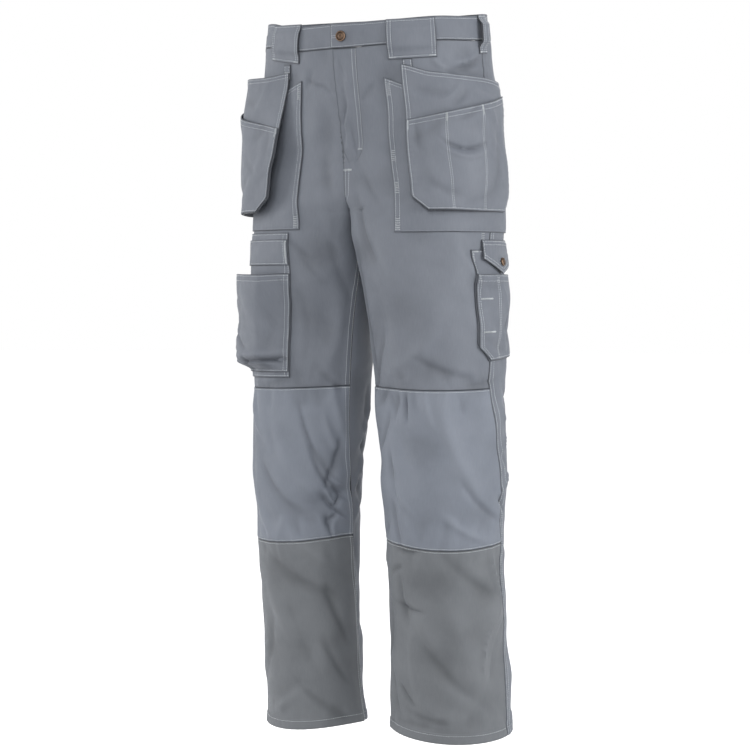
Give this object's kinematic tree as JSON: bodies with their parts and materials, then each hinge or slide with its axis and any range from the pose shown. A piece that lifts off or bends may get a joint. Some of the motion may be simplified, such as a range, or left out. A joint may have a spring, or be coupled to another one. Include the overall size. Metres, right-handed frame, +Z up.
{
  "type": "work pants",
  "caption": "Long straight-legged work pants, filled out and empty, with hanging hip pockets, a bellows thigh pocket, a side tool pocket, knee pockets and a buttoned waistband.",
  "frame": {"origin": "middle of the waist, 8 mm below the top edge of the waistband at the sides", "axes": "+X towards the wearer's left, -Y towards the front, +Z up along the body"},
  "size_m": [0.4349, 0.2835, 1.0658],
  "materials": {
    "main_cloth": "matt twill canvas, grey-blue",
    "knee_cloth": "matt plain-weave canvas, a shade lighter",
    "button_metal": "antique copper, worn"
  },
  "bodies": {
    "root": {"front_left": "main_cloth", "front_right": "main_cloth", "knee_left": "knee_cloth", "knee_right": "knee_cloth", "shin_left": "main_cloth", "shin_right": "main_cloth", "back_left": "main_cloth", "back_right": "main_cloth", "waistband_left": "main_cloth", "waistband_right": "main_cloth", "fly": "main_cloth", "belt_loop_front_left": "main_cloth", "belt_loop_front_right": "main_cloth", "belt_loop_side_left": "main_cloth", "belt_loop_side_right": "main_cloth", "belt_loop_back": "main_cloth", "hip_panel_left": "main_cloth", "hip_panel_right": "main_cloth", "holster_back_left": "main_cloth", "holster_back_right": "main_cloth", "holster_pocket_left": "main_cloth", "holster_pocket_right": "main_cloth", "holster_tab_left": "main_cloth", "holster_tab_right": "main_cloth", "cargo_base": "main_cloth", "cargo_band": "main_cloth", "cargo_pocket": "main_cloth", "tool_base": "main_cloth", "tool_pocket": "main_cloth", "tool_flap": "main_cloth", "waist_button": "button_metal", "flap_button": "button_metal"}
  },
  "joints": []
}
